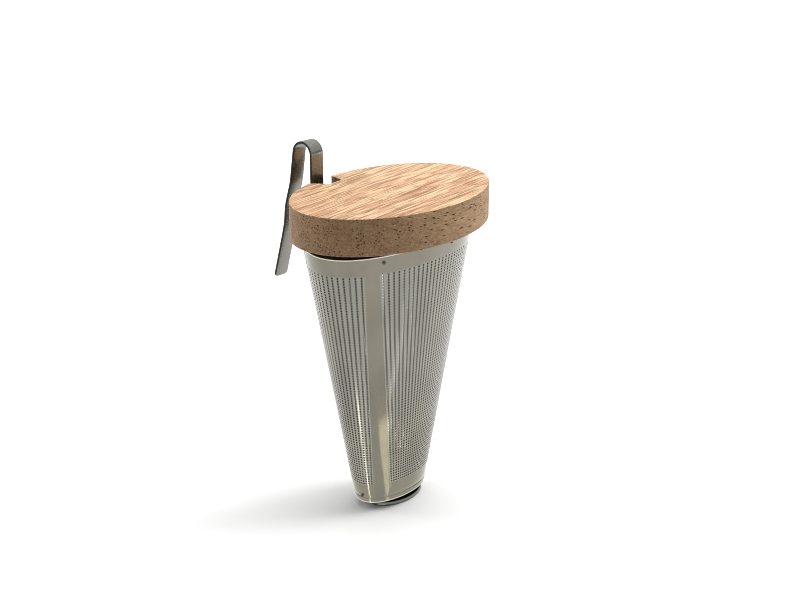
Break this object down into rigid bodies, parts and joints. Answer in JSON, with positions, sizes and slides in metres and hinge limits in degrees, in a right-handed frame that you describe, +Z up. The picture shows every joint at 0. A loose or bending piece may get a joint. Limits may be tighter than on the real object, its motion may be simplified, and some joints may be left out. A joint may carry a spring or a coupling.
{
  "type": "tea strainer",
  "caption": "Hanging tea strainer: an oval beech lid with a dark plug on a perforated oval steel cone, with a bent strap that hooks over a mug's rim.",
  "frame": {"origin": "on the cone's axis, in the plane of the foot's flat underside, on which the object can stand", "axes": "+X along the oval's long axis, +Y towards the strap clip, +Z up through the lid"},
  "size_m": [0.0642, 0.0582, 0.0944],
  "materials": {
    "beech": "fine sanded, unvarnished",
    "sheet_steel": "satin, perforated",
    "strap_steel": "satin",
    "cup_steel": "dull",
    "weld": "dark weld marks",
    "seal": "matt dark silicone"
  },
  "bodies": {
    "strainer": {"strainer_wall": "sheet_steel", "seam_lap": "sheet_steel", "base_cup": "cup_steel", "clip_strap": "strap_steel", "rim_weld_spots": "weld", "base_weld_spots": "weld", "clip_weld_spots": "weld"},
    "lid": {"lid": "beech", "lid_plug": "seal"}
  },
  "joints": [
    {"name": "lid_lift", "type": "slide", "parent": "strainer", "child": "lid", "axis": [0, 0, 1], "range_m": [0, 0.03]}
  ]
}
